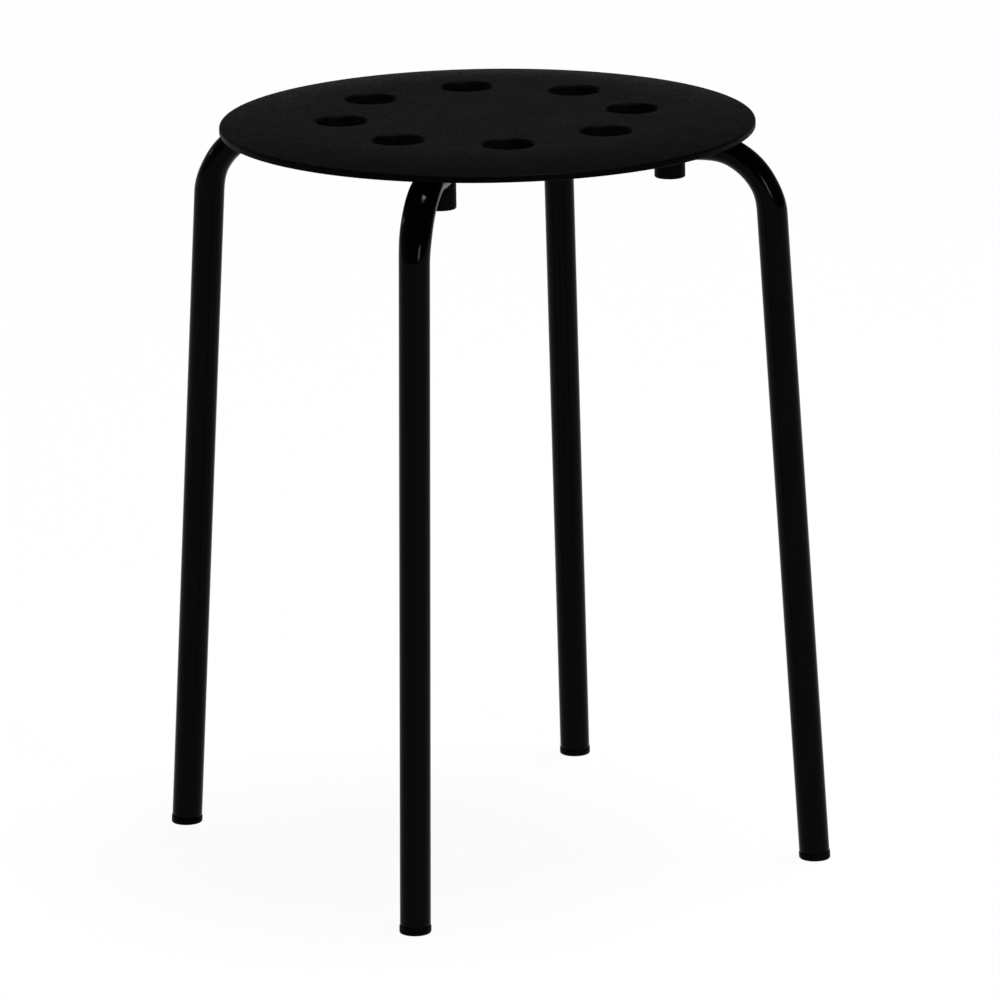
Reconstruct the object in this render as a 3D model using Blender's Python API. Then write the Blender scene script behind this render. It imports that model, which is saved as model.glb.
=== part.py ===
"""Round stacking stool: a moulded plastic seat on two crossed frames of bent steel tube."""

import math

import bmesh
import bpy
from mathutils import Matrix, Vector

MM = 0.001

# Whole stool. The feet stand outside the seat's edge, so that stools stack.
OVERALL_HEIGHT = 450 * MM
FOOT_REACH = 37.2 * MM
FIT_GAP = 0.3 * MM

# Seat moulding, flat in the middle, crowned down to a small corner and an upright rim
SEAT_DIAMETER = 320 * MM
SEAT_PLATE = 4 * MM
CROWN_WIDTH = 54 * MM
CROWN_DROP = 3.6 * MM
CROWN_POWER = 2
RIM_HEIGHT = 4.3 * MM
RIM_CORNER_ROUND = 1.6 * MM
RIM_WALL = 3 * MM
RIM_LIP_ROUND = 0.8 * MM
UNDER_ROLL_POWER = 3

# Finger holes, each with a collar that hangs below the plate
HOLE_COUNT = 8
HOLE_INSET = 72.4 * MM
HOLE_DIAMETER = 30 * MM
HOLE_EDGE_ROUND = 2.2 * MM
COLLAR_WALL = 2.4 * MM
COLLAR_DEPTH = 8 * MM

# Ribs between the legs, and guide walls that keep each tube in line
RIB_THICKNESS = 2.2 * MM
RIB_DEPTH = 12 * MM
RIB_END_ABOVE_LIP = 0.9 * MM
RIB_START_RADIUS = 24 * MM
RIB_TAPER_WIDTH = 56 * MM
GUIDE_WALL_THICKNESS = 2 * MM
GUIDE_WALL_DEPTH = 12.5 * MM
GUIDE_WALL_START_RADIUS = 36 * MM
GUIDE_WALL_INSET = 36 * MM
GUIDE_WALL_SLOPE = 5 * MM

# Steel tube and how it is bent
TUBE_DIAMETER = 18.3 * MM
TUBE_WALL = 1.2 * MM
LEG_SPLAY = math.radians(3.4)
BEND_RADIUS = 42.6 * MM
BEND_THICKNESS = 16.1 * MM
BEND_WIDTH = 19.4 * MM
BEND_EASE = 20 * MM

# The squashed lap where the two tubes cross at half height
LAP_FLAT_LENGTH = 26 * MM
LAP_EASE = 18 * MM
LAP_GAP = 0.3 * MM
LAP_SQUARENESS = 0.66

# Seat bosses, spacers and screws, one set on each tube end
SCREW_INSET = 48.5 * MM
SCREW_DIAMETER = 5 * MM
SCREW_LENGTH = 18 * MM
SCREW_HEAD_DIAMETER = 9.4 * MM
SCREW_HEAD_HEIGHT = 3 * MM
SCREW_CROWN_ROUND = 1.4 * MM
SCREW_SOCKET_SIZE = 3 * MM
SCREW_SOCKET_DEPTH = 1.9 * MM
INSERT_DIAMETER = 7.4 * MM
INSERT_LENGTH = 9 * MM
INSERT_GROOVE_DEPTH = 0.5 * MM
INSERT_GROOVE_WIDTH = 1.8 * MM
BOSS_WALL = 1.5 * MM
SPACER_DIAMETER = 18.4 * MM
SPACER_LENGTH = 10.6 * MM
SPACER_SADDLE_HEIGHT = 4.8 * MM
SPACER_EDGE_ROUND = 1 * MM
SPACER_RECESS_CLEARANCE = 0.8 * MM
SPACER_FLOOR = 5.2 * MM

# Plugs in the tube ends
CAP_OVERHANG = 0.3 * MM
CAP_HEIGHT = 4.6 * MM
CAP_EDGE_ROUND = 1.2 * MM
CAP_SHOULDER = 0.4 * MM
CAP_STEM_LENGTH = 18 * MM
CAP_STEM_GROOVE = 1.1 * MM
CAP_STEM_RINGS = 2

# Facets
SEAT_FACETS = 64
HOLE_FACETS = 24
TUBE_FACETS = 16
ROUND_FACETS = 16
SCREW_FACETS = 12
LAP_STEPS = 5
BEND_STEPS = 12
SADDLE_STEPS = 3
SHARP_ANGLE = math.radians(35)
WELD_DISTANCE = 0.001 * MM
OVERCUT = 2 * MM
JOIN_DEPTH = 1.2 * MM

# What follows from the sizes above
SEAT_RADIUS = SEAT_DIAMETER / 2
FLAT_TOP_RADIUS = SEAT_RADIUS - CROWN_WIDTH
HOLE_CIRCLE_RADIUS = SEAT_RADIUS - HOLE_INSET
SCREW_CIRCLE_RADIUS = SEAT_RADIUS - SCREW_INSET
FOOT_CIRCLE_RADIUS = SEAT_RADIUS + FOOT_REACH
TUBE_RADIUS = TUBE_DIAMETER / 2
BORE_RADIUS = TUBE_RADIUS - TUBE_WALL
CAP_RADIUS = TUBE_RADIUS + CAP_OVERHANG
UNDERSIDE = OVERALL_HEIGHT - SEAT_PLATE
LIP_HEIGHT = OVERALL_HEIGHT - CROWN_DROP - RIM_HEIGHT
LIP_ROUND_HEIGHT = LIP_HEIGHT + RIM_LIP_ROUND
RUN_HEIGHT = UNDERSIDE - FIT_GAP - TUBE_RADIUS
TURN = math.pi / 2 - LEG_SPLAY
LEG_TOP_RADIUS = FOOT_CIRCLE_RADIUS - RUN_HEIGHT * math.tan(LEG_SPLAY)
RUN_END = LEG_TOP_RADIUS - BEND_RADIUS * math.tan(TURN / 2)
BEND_LENGTH = BEND_RADIUS * TURN
SCREW_HOLE_RADIUS = SCREW_DIAMETER / 2 + FIT_GAP
INSERT_HOLE_RADIUS = INSERT_DIAMETER / 2 + FIT_GAP
BOSS_RADIUS = INSERT_HOLE_RADIUS + BOSS_WALL
BOSS_HOLE_RADIUS = BOSS_RADIUS + FIT_GAP
BOSS_END = RUN_HEIGHT - math.sqrt(BORE_RADIUS ** 2 - BOSS_HOLE_RADIUS ** 2) + FIT_GAP
SCREW_SEAT = RUN_HEIGHT - TUBE_RADIUS - SPACER_FLOOR - 2 * FIT_GAP
LEG_NAMES = ("right", "back", "left", "front")


def clear_scene():
    for thing in list(bpy.data.objects):
        bpy.data.objects.remove(thing, do_unlink=True)


def finish(name, colour, roughness, metallic=0.0):
    """A plain surface finish with one colour."""
    material = bpy.data.materials.new(name)
    material.use_nodes = True
    shader = material.node_tree.nodes["Principled BSDF"]
    shader.inputs["Base Color"].default_value = (*colour, 1.0)
    shader.inputs["Roughness"].default_value = roughness
    shader.inputs["Metallic"].default_value = metallic
    return material


def finished_mesh(name, bm):
    """Turn an edited shape into a mesh with its faces out, smooth between its sharp edges."""
    bmesh.ops.recalc_face_normals(bm, faces=bm.faces)
    mesh = bpy.data.meshes.new(name)
    bm.to_mesh(mesh)
    bm.free()
    mesh.shade_smooth()
    mesh.set_sharp_from_angle(angle=SHARP_ANGLE)
    return mesh


def lathe(name, profile, facets, closed=False):
    """Revolve (radius, height) points about Z. A closed profile makes a ring with a hole."""
    bm = bmesh.new()
    verts = [bm.verts.new((radius, 0, height)) for radius, height in profile]
    edges = [bm.edges.new(pair) for pair in zip(verts, verts[1:])]
    if closed:
        edges.append(bm.edges.new((verts[-1], verts[0])))
    bmesh.ops.spin(bm, geom=verts + edges, cent=(0, 0, 0), axis=(0, 0, 1),
                   angle=math.tau, steps=facets, use_merge=True)
    bmesh.ops.remove_doubles(bm, verts=bm.verts, dist=WELD_DISTANCE)
    return finished_mesh(name, bm)


def loft(name, rings, hollow=False):
    """Skin rings of equal length in order. A hollow loft runs back to its first ring."""
    bm = bmesh.new()
    loops = [[bm.verts.new(point) for point in ring] for ring in rings]
    followers = loops[1:] + loops[:1] if hollow else loops[1:]
    for near, far in zip(loops, followers):
        for i in range(len(near)):
            j = (i + 1) % len(near)
            bm.faces.new((near[i], near[j], far[j], far[i]))
    if not hollow:
        bm.faces.new(loops[0])
        bm.faces.new(loops[-1])
    return finished_mesh(name, bm)


def prism(outline, thickness):
    """A flat plate upright in the XZ plane, with its middle on that plane."""
    bm = bmesh.new()
    verts = [bm.verts.new((x, -thickness / 2, z)) for x, z in outline]
    side = bm.faces.new(verts)
    grown = bmesh.ops.extrude_face_region(bm, geom=[side])["geom"]
    moved = [item for item in grown if isinstance(item, bmesh.types.BMVert)]
    bmesh.ops.translate(bm, verts=moved, vec=(0, thickness, 0))
    return finished_mesh("plate", bm)


def gathered(name, meshes_and_places):
    """One mesh that holds a copy of each mesh at its place."""
    bm = bmesh.new()
    for mesh, place in meshes_and_places:
        first = len(bm.verts)
        bm.from_mesh(mesh)
        bm.verts.ensure_lookup_table()
        bmesh.ops.transform(bm, matrix=place, verts=bm.verts[first:])
    return finished_mesh(name, bm)


def add_object(name, mesh, material=None, parent=None, location=(0, 0, 0), turn=0.0):
    thing = bpy.data.objects.new(name, mesh)
    bpy.context.scene.collection.objects.link(thing)
    thing.location = location
    thing.rotation_euler = (0, 0, turn)
    thing.parent = parent
    if material:
        mesh.materials.clear()
        mesh.materials.append(material)
    return thing


def combine(target, tool_mesh, operation):
    """Add a Boolean to the target, with a hidden tool that moves with it."""
    tool = add_object(tool_mesh.name, tool_mesh, parent=target)
    tool.hide_render = True
    tool.display_type = "WIRE"
    modifier = target.modifiers.new(tool_mesh.name, "BOOLEAN")
    modifier.operation = operation
    modifier.solver = "EXACT"
    modifier.object = tool


def around(angle, radius=0.0, height=0.0):
    """Place a shape at a radius and height, turned about the stool's axis."""
    return Matrix.Rotation(angle, 4, "Z") @ Matrix.Translation((radius, 0, height))


def arc(centre, radius, start, end, steps):
    """Points on an arc, with its angles in degrees from the +radius direction."""
    points = []
    for step in range(steps + 1):
        angle = math.radians(start + (end - start) * step / steps)
        points.append((centre[0] + radius * math.cos(angle), centre[1] + radius * math.sin(angle)))
    return points


def eased(value):
    """A smooth step from 0 to 1."""
    value = min(max(value, 0.0), 1.0)
    return value * value * (3 - 2 * value)


# Seat

def crowned_edge(steps):
    """Points on the top face from the end of its flat to the corner above the upright rim."""
    corner_place = SEAT_RADIUS - RIM_CORNER_ROUND
    slope = math.atan(CROWN_POWER * CROWN_DROP / (corner_place - FLAT_TOP_RADIUS))
    width = corner_place + RIM_CORNER_ROUND * math.sin(slope) - FLAT_TOP_RADIUS
    corner = (corner_place, OVERALL_HEIGHT - CROWN_DROP - RIM_CORNER_ROUND * math.cos(slope))
    points = []
    for step in range(steps + 1):
        share = step / steps
        fall = CROWN_DROP * share ** CROWN_POWER
        points.append((FLAT_TOP_RADIUS + share * width, OVERALL_HEIGHT - fall))
    return points + arc(corner, RIM_CORNER_ROUND, 90 - math.degrees(slope), 0, 3)[1:]


def underside_height(radius, end_radius):
    """Height of the lower face, which is flat in the middle and rolls down until it stands upright."""
    share = max(radius - FLAT_TOP_RADIUS, 0) / (end_radius - FLAT_TOP_RADIUS)
    fall = UNDERSIDE - LIP_ROUND_HEIGHT
    return UNDERSIDE - fall * (1 - math.sqrt(max(1 - share ** UNDER_ROLL_POWER, 0)))


def underside_roll(end_radius, steps):
    """Points on the lower face from the end of its flat to the lip, closer together where it turns."""
    points = []
    for step in range(steps + 1):
        share = math.sin(math.pi / 2 * step / steps) ** (2 / UNDER_ROLL_POWER)
        radius = FLAT_TOP_RADIUS + share * (end_radius - FLAT_TOP_RADIUS)
        points.append((radius, underside_height(radius, end_radius)))
    return points


def seat_profile():
    """Half section of the plate and its rim, from the top centre round to below it."""
    inner_radius = SEAT_RADIUS - RIM_WALL
    outer_lip = (SEAT_RADIUS - RIM_LIP_ROUND, LIP_ROUND_HEIGHT)
    inner_lip = (inner_radius + RIM_LIP_ROUND, LIP_ROUND_HEIGHT)
    points = [(0, OVERALL_HEIGHT)]
    points += crowned_edge(4)
    points += arc(outer_lip, RIM_LIP_ROUND, 0, -90, 2)
    points += arc(inner_lip, RIM_LIP_ROUND, -90, -180, 1)
    points += reversed(underside_roll(inner_radius, 4))
    points.append((0, UNDERSIDE))
    return points


def hole_angles():
    """The holes lie in pairs, half a step to each side of every leg."""
    return [math.tau * (i + 0.5) / HOLE_COUNT for i in range(HOLE_COUNT)]


def hole_cutter():
    """A finger hole with its rounded upper edge."""
    radius = HOLE_DIAMETER / 2
    bottom = OVERALL_HEIGHT - COLLAR_DEPTH - OVERCUT
    centre = (radius + HOLE_EDGE_ROUND, OVERALL_HEIGHT - HOLE_EDGE_ROUND)
    profile = [(0, bottom), (radius, bottom)]
    profile += arc(centre, HOLE_EDGE_ROUND, 180, 102, 3)
    above = OVERALL_HEIGHT + OVERCUT
    profile += [(centre[0] + HOLE_EDGE_ROUND / 2, above), (0, above)]
    return lathe("hole", profile, HOLE_FACETS)


def cylinder(radius, bottom, top, facets):
    return lathe("cylinder", [(0, bottom), (radius, bottom), (radius, top), (0, top)], facets)


def seat_collars():
    """A collar round each finger hole, still solid."""
    bottom = OVERALL_HEIGHT - COLLAR_DEPTH
    collar = cylinder(HOLE_DIAMETER / 2 + COLLAR_WALL, bottom, UNDERSIDE + JOIN_DEPTH, HOLE_FACETS)
    return gathered("seat_collars", [(collar, around(angle, HOLE_CIRCLE_RADIUS)) for angle in hole_angles()])


def seat_stiffeners():
    """Guide walls beside the tubes, and screw bosses between them."""
    top = UNDERSIDE + JOIN_DEPTH
    boss = cylinder(BOSS_RADIUS, BOSS_END, top, ROUND_FACETS)
    guide_bottom = OVERALL_HEIGHT - GUIDE_WALL_DEPTH
    guide_end = SEAT_RADIUS - GUIDE_WALL_INSET
    guide = prism([(GUIDE_WALL_START_RADIUS, top),
                   (GUIDE_WALL_START_RADIUS + GUIDE_WALL_SLOPE, guide_bottom),
                   (guide_end - GUIDE_WALL_SLOPE, guide_bottom),
                   (guide_end, top)], GUIDE_WALL_THICKNESS)
    guide_offset = TUBE_RADIUS + FIT_GAP + GUIDE_WALL_THICKNESS / 2
    pieces = []
    for quarter in range(4):
        turn = quarter * math.pi / 2
        pieces.append((boss, around(turn, SCREW_CIRCLE_RADIUS)))
        for side in (-1, 1):
            pieces.append((guide, around(turn) @ Matrix.Translation((0, side * guide_offset, 0))))
    return gathered("seat_stiffeners", pieces)


def seat_radial_ribs():
    """Four deep ribs between the legs, which get shallower towards the rim and end in it."""
    top = UNDERSIDE + JOIN_DEPTH
    bottom = OVERALL_HEIGHT - RIB_DEPTH
    taper_radius = SEAT_RADIUS - RIB_TAPER_WIDTH
    outline = [(RIB_START_RADIUS, top), (RIB_START_RADIUS, bottom), (taper_radius, bottom)]
    end_radius = SEAT_RADIUS - RIM_WALL / 2
    outline.append((end_radius, LIP_HEIGHT + RIB_END_ABOVE_LIP))
    for radius, height in reversed(underside_roll(end_radius, 3)):
        outline.append((radius, height + JOIN_DEPTH))
    rib = prism(outline, RIB_THICKNESS)
    return gathered("seat_radial_ribs", [(rib, around(math.pi / 4 + i * math.pi / 2)) for i in range(4)])


def seat_cutters():
    """The finger holes and the blind holes that take the threaded inserts."""
    hole = hole_cutter()
    blind_end = max(BOSS_END + INSERT_LENGTH, SCREW_SEAT + SCREW_LENGTH) + FIT_GAP
    insert_hole = cylinder(INSERT_HOLE_RADIUS, BOSS_END - OVERCUT, blind_end, ROUND_FACETS)
    pieces = [(hole, around(angle, HOLE_CIRCLE_RADIUS)) for angle in hole_angles()]
    pieces += [(insert_hole, around(i * math.pi / 2, SCREW_CIRCLE_RADIUS)) for i in range(4)]
    return gathered("seat_cutters", pieces)


def make_seat(material):
    seat = add_object("seat", lathe("seat", seat_profile(), SEAT_FACETS), material)
    combine(seat, seat_collars(), "UNION")
    combine(seat, seat_stiffeners(), "UNION")
    combine(seat, seat_radial_ribs(), "UNION")
    combine(seat, seat_cutters(), "DIFFERENCE")
    return seat


# Tube frames

def path_point(distance):
    """Place and direction on the tube's axis, measured along it from the stool's middle to the foot."""
    if distance <= RUN_END:
        return Vector((distance, 0, RUN_HEIGHT)), Vector((1, 0, 0))
    swept = min((distance - RUN_END) / BEND_RADIUS, TURN)
    centre = Vector((RUN_END, 0, RUN_HEIGHT - BEND_RADIUS))
    place = centre + BEND_RADIUS * Vector((math.sin(swept), 0, math.cos(swept)))
    direction = Vector((math.cos(swept), 0, -math.sin(swept)))
    return place + direction * max(distance - RUN_END - BEND_LENGTH, 0), direction


def tube_length():
    """Length of the tube's axis from the stool's middle to where the foot cap starts."""
    leg_start, direction = path_point(RUN_END + BEND_LENGTH)
    return RUN_END + BEND_LENGTH + leg_start.z / -direction.z - CAP_HEIGHT - FIT_GAP


def blended(full, bent, squashed, bend, lap):
    """A measure of the tube's section, between its values in a straight, in a bend and in the lap."""
    return full + bend * (bent - full) + lap * (squashed - full)


def tube_section(distance, lap_side, inset):
    """One ring of the tube: round, flattened in the bend, squashed to half its height in the lap."""
    place, direction = path_point(distance)
    upward = Vector((-direction.z, 0, direction.x))
    lap = 1 - eased((distance - LAP_FLAT_LENGTH / 2) / LAP_EASE)
    into_bend = distance - RUN_END
    bend = eased(into_bend / BEND_EASE) * eased((BEND_LENGTH - into_bend) / BEND_EASE)
    lap_thickness = TUBE_RADIUS - LAP_GAP / 2
    middle = TUBE_DIAMETER - TUBE_WALL
    lap_width = lap_thickness + math.pi * (middle - lap_thickness + TUBE_WALL) / 2
    height = blended(TUBE_DIAMETER, BEND_THICKNESS, lap_thickness, bend, lap)
    width = blended(TUBE_DIAMETER, BEND_WIDTH, lap_width, bend, lap)
    power = blended(1, 1, LAP_SQUARENESS, bend, lap)
    place = place + upward * lap * lap_side * (TUBE_RADIUS - lap_thickness / 2)
    ring = []
    for i in range(TUBE_FACETS):
        angle = math.tau * i / TUBE_FACETS
        across = math.copysign(abs(math.cos(angle)) ** power, math.cos(angle))
        along = math.copysign(abs(math.sin(angle)) ** power, math.sin(angle))
        sideways = Vector((0, across * (width / 2 - inset), 0))
        ring.append(place + sideways + upward * along * (height / 2 - inset))
    return ring


def ring_places():
    """Where the tube gets a ring: close together in the lap and the bend, none in the straight runs."""
    places = [LAP_FLAT_LENGTH / 2 + LAP_EASE * i / LAP_STEPS for i in range(LAP_STEPS + 1)]
    places += [RUN_END + BEND_LENGTH * i / BEND_STEPS for i in range(BEND_STEPS + 1)]
    places.append(tube_length())
    return places


def mirrored(ring):
    return [Vector((-point.x, point.y, point.z)) for point in ring]


def frame_mesh(name, lap_side):
    """A hollow tube bent into a U, open at both feet."""
    skins = []
    for inset in (0, TUBE_WALL):
        half = [tube_section(place, lap_side, inset) for place in ring_places()]
        skins.append([mirrored(ring) for ring in reversed(half)] + half)
    outer, inner = skins
    return loft(name, outer + inner[::-1], hollow=True)


def screw_hole_cutters(name):
    """A wide hole in the tube's upper wall for the boss, and a narrow one below for the screw."""
    profile = [(0, -TUBE_DIAMETER), (SCREW_HOLE_RADIUS, -TUBE_DIAMETER), (SCREW_HOLE_RADIUS, 0),
               (BOSS_HOLE_RADIUS, 0), (BOSS_HOLE_RADIUS, TUBE_DIAMETER), (0, TUBE_DIAMETER)]
    drill = lathe("drill", profile, ROUND_FACETS)
    places = [around(turn, SCREW_CIRCLE_RADIUS, RUN_HEIGHT) for turn in (0, math.pi)]
    return gathered(name, [(drill, place) for place in places])


def make_frame(name, lap_side, turn, material):
    frame = add_object(name, frame_mesh(name, lap_side), material, turn=turn)
    combine(frame, screw_hole_cutters(name + "_drill"), "DIFFERENCE")
    return frame


# Pieces at each tube end

def ring_of(radius, facets, height_at):
    """A round ring whose height can depend on its place across the tube."""
    points = []
    for i in range(facets):
        angle = math.tau * i / facets
        x, y = radius * math.cos(angle), radius * math.sin(angle)
        points.append(Vector((x, y, height_at(y))))
    return points


def saddle_height(y):
    """The spacer's upper face follows the underside of the tube, up to its flat tips."""
    reach = TUBE_RADIUS + FIT_GAP
    tips = -TUBE_RADIUS + SPACER_SADDLE_HEIGHT
    return min(-math.sqrt(max(reach ** 2 - y ** 2, 0)), tips)


def spacer_mesh():
    """A round spacer with a recess below for the screw head. Its origin is on the tube's axis."""
    radius = SPACER_DIAMETER / 2
    bottom = -TUBE_RADIUS - FIT_GAP - SPACER_LENGTH
    floor = -TUBE_RADIUS - FIT_GAP - SPACER_FLOOR
    recess = SCREW_HEAD_DIAMETER / 2 + SPACER_RECESS_CLEARANCE
    rings = [ring_of(recess, ROUND_FACETS, lambda y: floor),
             ring_of(recess, ROUND_FACETS, lambda y: bottom)]
    for r, z in arc((radius - SPACER_EDGE_ROUND, bottom + SPACER_EDGE_ROUND), SPACER_EDGE_ROUND, -90, 0, 3):
        rings.append(ring_of(r, ROUND_FACETS, lambda y, z=z: z))
    for step in range(SADDLE_STEPS + 1):
        r = radius + (SCREW_HOLE_RADIUS - radius) * step / SADDLE_STEPS
        rings.append(ring_of(r, ROUND_FACETS, saddle_height))
    rings.append(ring_of(SCREW_HOLE_RADIUS, ROUND_FACETS, lambda y: floor))
    return loft("spacer", rings, hollow=True)


def hexagon_ring(size, facets, height):
    """A ring of points along a hexagon, given by its width across the flats."""
    points = []
    for i in range(facets):
        angle = math.tau * i / facets
        from_flat = (angle + math.pi / 6) % (math.pi / 3) - math.pi / 6
        radius = size / 2 / math.cos(from_flat)
        points.append(Vector((radius * math.cos(angle), radius * math.sin(angle), height)))
    return points


def screw_mesh():
    """A pan head screw with a hexagon socket, head down. Its origin is under the head."""
    head = SCREW_HEAD_DIAMETER / 2
    shank = SCREW_DIAMETER / 2
    crown = (head - SCREW_CROWN_ROUND, SCREW_CROWN_ROUND - SCREW_HEAD_HEIGHT)
    tip = SCREW_LENGTH - shank / 2

    def ring(radius, z):
        return ring_of(radius, SCREW_FACETS, lambda y: z)

    rings = [hexagon_ring(SCREW_SOCKET_SIZE, SCREW_FACETS, SCREW_SOCKET_DEPTH - SCREW_HEAD_HEIGHT),
             hexagon_ring(SCREW_SOCKET_SIZE, SCREW_FACETS, -SCREW_HEAD_HEIGHT)]
    rings += [ring(r, z) for r, z in arc(crown, SCREW_CROWN_ROUND, -90, 0, 2)]
    rings += [ring(head, 0), ring(shank, 0), ring(shank, tip), ring(shank / 2, SCREW_LENGTH)]
    return loft("screw", rings)


def insert_mesh():
    """A threaded insert with a groove round its middle. Its origin is at its lower end."""
    outer = INSERT_DIAMETER / 2
    waist = outer - INSERT_GROOVE_DEPTH
    groove_low = (INSERT_LENGTH - INSERT_GROOVE_WIDTH) / 2
    groove_high = groove_low + INSERT_GROOVE_WIDTH
    profile = [(SCREW_HOLE_RADIUS, 0), (outer, 0), (outer, groove_low), (waist, groove_low),
               (waist, groove_high), (outer, groove_high), (outer, INSERT_LENGTH),
               (SCREW_HOLE_RADIUS, INSERT_LENGTH)]
    return lathe("threaded_insert", profile, SCREW_FACETS, closed=True)


def cap_ring(distance, radius, tilt):
    """A ring round the leg's axis: level where the tilt is 0, square to the leg where it is 1."""
    axis = Vector((-math.sin(LEG_SPLAY), 0, math.cos(LEG_SPLAY)))
    turn = Matrix.Rotation(-LEG_SPLAY * tilt, 3, "Y")
    return [axis * distance + turn @ point for point in ring_of(radius, ROUND_FACETS, lambda y: 0)]


def cap_mesh():
    """A foot plug: a level, rounded sole and a ringed stem up the tube. Its origin is on the floor."""
    stem = BORE_RADIUS - FIT_GAP
    core = stem - CAP_STEM_GROOVE
    rings = []
    for r, z in arc((CAP_RADIUS - CAP_EDGE_ROUND, CAP_EDGE_ROUND), CAP_EDGE_ROUND, -90, 0, 2):
        rings.append(cap_ring(z, r, 0))
    rings.append(cap_ring(CAP_HEIGHT - CAP_SHOULDER, CAP_RADIUS, 1))
    rings.append(cap_ring(CAP_HEIGHT, CAP_RADIUS - CAP_SHOULDER, 1))
    pitch = CAP_STEM_LENGTH / (2 * CAP_STEM_RINGS)
    for i in range(CAP_STEM_RINGS):
        low = CAP_HEIGHT + pitch * 2 * i
        rings += [cap_ring(low, core, 1), cap_ring(low + pitch, core, 1), cap_ring(low + pitch, stem, 1)]
    rings.append(cap_ring(CAP_HEIGHT + CAP_STEM_LENGTH, core, 1))
    return loft("foot_cap", rings)


def make_end_pieces(finishes):
    """A spacer, a screw, a threaded insert and a foot cap for each of the four tube ends."""
    pieces = (
        ("spacer", spacer_mesh(), "plastic", SCREW_CIRCLE_RADIUS, RUN_HEIGHT),
        ("screw", screw_mesh(), "zinc", SCREW_CIRCLE_RADIUS, SCREW_SEAT),
        ("threaded_insert", insert_mesh(), "brass", SCREW_CIRCLE_RADIUS, BOSS_END),
        ("foot_cap", cap_mesh(), "plastic", FOOT_CIRCLE_RADIUS, 0),
    )
    for i, leg in enumerate(LEG_NAMES):
        marker = add_object("tube_end_" + leg, None, turn=i * math.pi / 2)
        for name, mesh, material, radius, height in pieces:
            add_object(f"{name}_{leg}", mesh, finishes[material], marker, (radius, 0, height))


def main():
    clear_scene()
    finishes = {
        "seat": finish("seat_plastic", (0.011, 0.011, 0.011), 0.55),
        "steel": finish("black_powder_coat", (0.006, 0.006, 0.006), 0.22),
        "plastic": finish("black_plastic", (0.009, 0.009, 0.009), 0.45),
        "zinc": finish("zinc_plate", (0.62, 0.63, 0.64), 0.3, 1.0),
        "brass": finish("brass", (0.72, 0.52, 0.24), 0.35, 1.0),
    }
    make_seat(finishes["seat"])
    make_frame("leg_frame_lower", -1, 0.0, finishes["steel"])
    make_frame("leg_frame_upper", 1, math.pi / 2, finishes["steel"])
    make_end_pieces(finishes)


main()
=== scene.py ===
"""Looks of the round stacking stool: a grained black seat on powder-coated tube legs, in a white studio."""

import math

import bmesh
import bpy
from mathutils import Matrix, Vector


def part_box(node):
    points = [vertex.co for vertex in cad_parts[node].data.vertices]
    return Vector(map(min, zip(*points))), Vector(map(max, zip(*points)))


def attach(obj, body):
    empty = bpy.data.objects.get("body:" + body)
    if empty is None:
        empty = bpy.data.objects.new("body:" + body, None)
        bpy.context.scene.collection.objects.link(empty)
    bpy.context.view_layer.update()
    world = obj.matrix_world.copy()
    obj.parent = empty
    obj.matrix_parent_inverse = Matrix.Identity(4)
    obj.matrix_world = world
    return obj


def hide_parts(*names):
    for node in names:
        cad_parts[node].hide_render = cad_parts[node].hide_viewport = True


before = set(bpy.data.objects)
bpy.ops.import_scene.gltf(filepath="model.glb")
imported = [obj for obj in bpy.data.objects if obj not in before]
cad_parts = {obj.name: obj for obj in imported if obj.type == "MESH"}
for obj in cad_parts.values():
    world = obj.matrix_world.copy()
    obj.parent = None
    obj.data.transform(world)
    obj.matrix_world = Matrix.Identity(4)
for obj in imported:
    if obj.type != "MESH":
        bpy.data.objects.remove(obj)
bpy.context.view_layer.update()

MM = 0.001
LEG_NAMES = ("right", "back", "left", "front")
QUARTER_TURN = math.pi / 2
QUARTER_TURNS = [i * QUARTER_TURN for i in range(4)]

# Camera: a long lens a little above the seat, turned to the right of the front leg
IMAGE_WIDTH = 1000
SENSOR_WIDTH = 36.0
FOCAL_PIXELS = 8573.5
CAMERA_DISTANCE = 5168.9 * MM
CAMERA_AZIMUTH = math.radians(14.445)
CAMERA_ELEVATION = math.radians(14.103)
CAMERA_ROLL = math.radians(-0.849)
CAMERA_TARGET_ASIDE = 4.226 * MM
CAMERA_TARGET_HEIGHT = 213.0 * MM
CAMERA_REACH = 200.0

# Seat. Its radius and its top come from the solid seat.
SEAT_LOW, SEAT_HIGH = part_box("seat")
SEAT_RADIUS = SEAT_HIGH.x
SEAT_TOP = SEAT_HIGH.z
SEAT_PLATE = 4 * MM
CROWN_WIDTH = 54 * MM
CROWN_DROP = 3.6 * MM
CROWN_POWER = 2
RIM_HEIGHT = 4.3 * MM
RIM_CORNER_ROUND = 1.6 * MM
RIM_WALL = 3 * MM
RIM_LIP_ROUND = 0.8 * MM
UNDER_ROLL_POWER = 3
HOLE_COUNT = 8
HOLE_INSET = 72.4 * MM
HOLE_RADIUS = 15 * MM
HOLE_EDGE_ROUND = 2.2 * MM
COLLAR_WALL = 2.4 * MM
COLLAR_DEPTH = 8 * MM
RIB_THICKNESS = 2.2 * MM
RIB_DEPTH = 12 * MM
RIB_END_ABOVE_LIP = 0.9 * MM
RIB_START_RADIUS = 24 * MM
RIB_TAPER_WIDTH = 56 * MM
GUIDE_WALL_THICKNESS = 2 * MM
GUIDE_WALL_DEPTH = 12.5 * MM
GUIDE_WALL_START_RADIUS = 36 * MM
GUIDE_WALL_INSET = 36 * MM
GUIDE_WALL_SLOPE = 5 * MM
MOULDED_EDGE_ROUND = 0.45 * MM

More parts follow.
